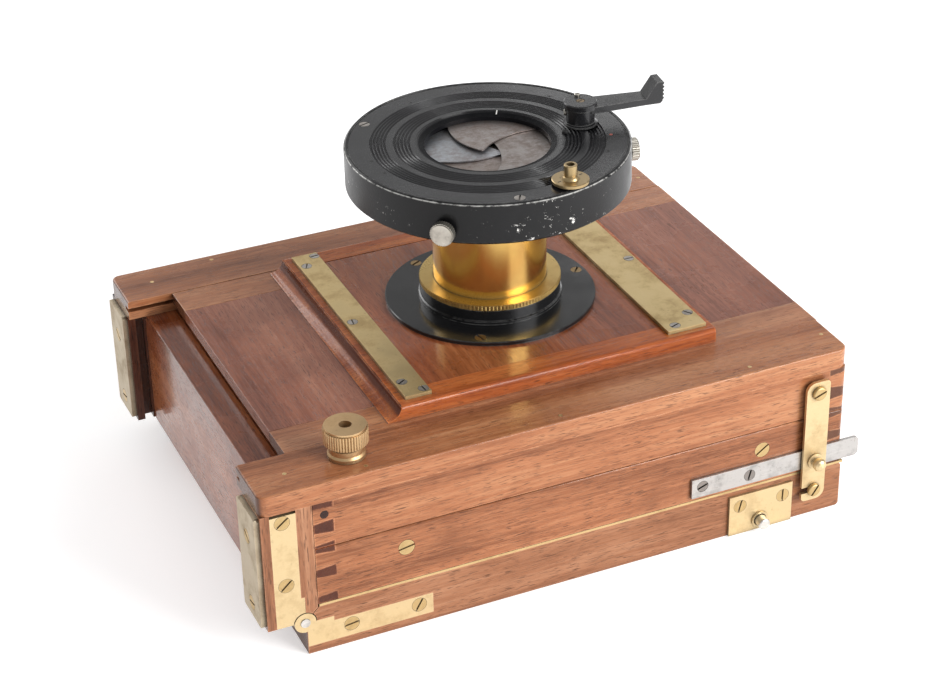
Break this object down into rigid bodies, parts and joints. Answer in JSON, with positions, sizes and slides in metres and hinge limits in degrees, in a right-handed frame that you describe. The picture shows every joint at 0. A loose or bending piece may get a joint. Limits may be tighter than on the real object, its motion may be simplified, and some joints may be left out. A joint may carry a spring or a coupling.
{
  "type": "view camera",
  "caption": "Folded wooden tailboard view camera on its tailboard, with brass fittings and a lever-released drum shutter on its sliding front.",
  "frame": {"origin": "centre of the footprint, on the plane the camera rests on (the outer face of its folded tailboard)", "axes": "+Z along the lens axis, out of the shutter; +X from the base of the camera to its top; +Y across the case, from the side with the clamping nut to the other side"},
  "size_m": [0.2574, 0.2058, 0.1652],
  "materials": {
    "mahogany": "french polish, worn",
    "brass": "lacquered, aged",
    "steel": "aged, with light scratches",
    "nickel_plate": "worn nickel plate",
    "black_enamel": "satin, chipped at the edges",
    "glass": "clear or fine ground",
    "bellows_leather": "matt"
  },
  "bodies": {
    "camera_body": {"base_post_near": "mahogany", "base_post_far": "mahogany", "base_panel": "mahogany", "front_box_side_near": "mahogany", "front_box_side_far": "mahogany", "front_box_end_top": "mahogany", "front_box_end_bottom": "mahogany", "front_board": "mahogany", "guide_strip_near": "mahogany", "guide_strip_far": "mahogany", "rear_body_side_near": "mahogany", "rear_body_side_far": "mahogany", "rear_body_end_top": "mahogany", "rear_body_end_bottom": "mahogany", "screen_frame": "mahogany", "bellows": "bellows_leather", "ground_glass": "glass", "corner_plates": "brass", "post_hinge_leaves": "brass", "hinge_pins": "steel", "steel_straps": "steel", "case_screws": "brass", "strip_pins": "brass", "clamp_stud": "brass"},
    "tailboard": {"tailboard_rails": "mahogany", "tailboard_hinge_rail": "mahogany", "tailboard_hinge_leaves": "brass", "runner_strips": "brass", "pinion_plates": "steel", "tailboard_screws": "brass"},
    "carriage": {"carriage_board": "mahogany", "carriage_racks": "brass"},
    "pinion": {"pinion_shaft": "steel"},
    "latch_near": {"latch_hook_near": "brass"},
    "latch_far": {"latch_hook_far": "brass"},
    "clamp_nut": {"clamp_nut": "brass"},
    "rising_front": {"rising_panel": "mahogany", "panel_cleats": "mahogany", "lensboard_frame": "mahogany", "lens_board": "mahogany", "lensboard_plates": "brass", "lensboard_screws": "steel", "flange": "black_enamel", "flange_screws": "brass", "milled_ring": "brass", "lens_barrel": "brass", "rear_lens": "glass", "shutter_housing": "black_enamel", "shutter_face": "black_enamel", "shutter_screws": "steel"},
    "drive_ring": {"drive_ring": "steel"},
    "release_lever": {"release_lever": "brass"},
    "mode_dial": {"mode_dial": "brass"},
    "blade_1": {"shutter_blade_1": "black_enamel"},
    "blade_2": {"shutter_blade_2": "black_enamel"},
    "blade_3": {"shutter_blade_3": "black_enamel"},
    "blade_4": {"shutter_blade_4": "black_enamel"},
    "thumbscrew_1": {"thumbscrew_1": "nickel_plate"},
    "thumbscrew_2": {"thumbscrew_2": "nickel_plate"},
    "thumbscrew_3": {"thumbscrew_3": "nickel_plate"}
  },
  "joints": [
    {"name": "tailboard_hinge", "type": "hinge", "parent": "camera_body", "child": "tailboard", "pos_m": [-0.11195, 0, 0.0148], "axis": [0, 1, 0], "range_deg": [0, 90]},
    {"name": "carriage_slide", "type": "slide", "parent": "tailboard", "child": "carriage", "axis": [1, 0, 0], "range_m": [0, 0.11]},
    {"name": "pinion_turn", "type": "hinge", "parent": "tailboard", "child": "pinion", "pos_m": [0.08365, 0, 0.0048], "axis": [0, 1, 0], "continuous": true},
    {"name": "latch_near_swing", "type": "hinge", "parent": "camera_body", "child": "latch_near", "pos_m": [0.10715, -0.0955, 0.0595], "axis": [0, -1, 0], "range_deg": [0, 100]},
    {"name": "latch_far_swing", "type": "hinge", "parent": "camera_body", "child": "latch_far", "pos_m": [0.10715, 0.0955, 0.0595], "axis": [0, -1, 0], "range_deg": [0, 100]},
    {"name": "clamp_nut_turn", "type": "hinge", "parent": "camera_body", "child": "clamp_nut", "pos_m": [-0.08675, -0.0791, 0.08], "axis": [0, 0, 1], "continuous": true},
    {"name": "front_rise", "type": "slide", "parent": "camera_body", "child": "rising_front", "axis": [1, 0, 0], "range_m": [-0.015, 0.04]},
    {"name": "ring_turn", "type": "hinge", "parent": "rising_front", "child": "drive_ring", "pos_m": [0.00785, 0, 0.1425], "axis": [0, 0, 1], "range_deg": [0, 30]},
    {"name": "lever_press", "type": "hinge", "parent": "rising_front", "child": "release_lever", "pos_m": [0.04765, -0.0022, 0.15], "axis": [0, 0, 1], "range_deg": [0, 30]},
    {"name": "blade_1_swing", "type": "hinge", "parent": "rising_front", "child": "blade_1", "pos_m": [-0.0038, -0.04347, 0.14445], "axis": [0, 0, 1], "range_deg": [-46, 0]},
    {"name": "blade_2_swing", "type": "hinge", "parent": "rising_front", "child": "blade_2", "pos_m": [-0.03562, 0.01165, 0.14515], "axis": [0, 0, 1], "range_deg": [-46, 0]},
    {"name": "blade_3_swing", "type": "hinge", "parent": "rising_front", "child": "blade_3", "pos_m": [0.05132, -0.01165, 0.14585], "axis": [0, 0, 1], "range_deg": [-46, 0]},
    {"name": "blade_4_swing", "type": "hinge", "parent": "rising_front", "child": "blade_4", "pos_m": [0.0195, 0.04347, 0.14655], "axis": [0, 0, 1], "range_deg": [-46, 0]},
    {"name": "dial_turn", "type": "hinge", "parent": "rising_front", "child": "mode_dial", "pos_m": [0.02035, -0.049, 0.15], "axis": [0, 0, 1], "range_deg": [-40, 40]},
    {"name": "thumbscrew_1_turn", "type": "hinge", "parent": "rising_front", "child": "thumbscrew_1", "pos_m": [-0.0302, -0.04377, 0.1386], "axis": [-0.6561, -0.7547, 0], "continuous": true},
    {"name": "thumbscrew_2_turn", "type": "hinge", "parent": "rising_front", "child": "thumbscrew_2", "pos_m": [0.06478, -0.01107, 0.1386], "axis": [0.9816, -0.1908, 0], "continuous": true},
    {"name": "thumbscrew_3_turn", "type": "hinge", "parent": "rising_front", "child": "thumbscrew_3", "pos_m": [-0.01103, 0.05484, 0.1386], "axis": [-0.3256, 0.9455, 0], "continuous": true}
  ],
  "couplings": [
    {"joint": "pinion_turn", "follows": "carriage_slide", "rad_per_m": 250},
    {"joint": "lever_press", "follows": "ring_turn", "ratio": 1},
    {"joint": "blade_1_swing", "follows": "ring_turn", "ratio": -1.5},
    {"joint": "blade_2_swing", "follows": "ring_turn", "ratio": -1.5},
    {"joint": "blade_3_swing", "follows": "ring_turn", "ratio": -1.5},
    {"joint": "blade_4_swing", "follows": "ring_turn", "ratio": -1.5}
  ]
}
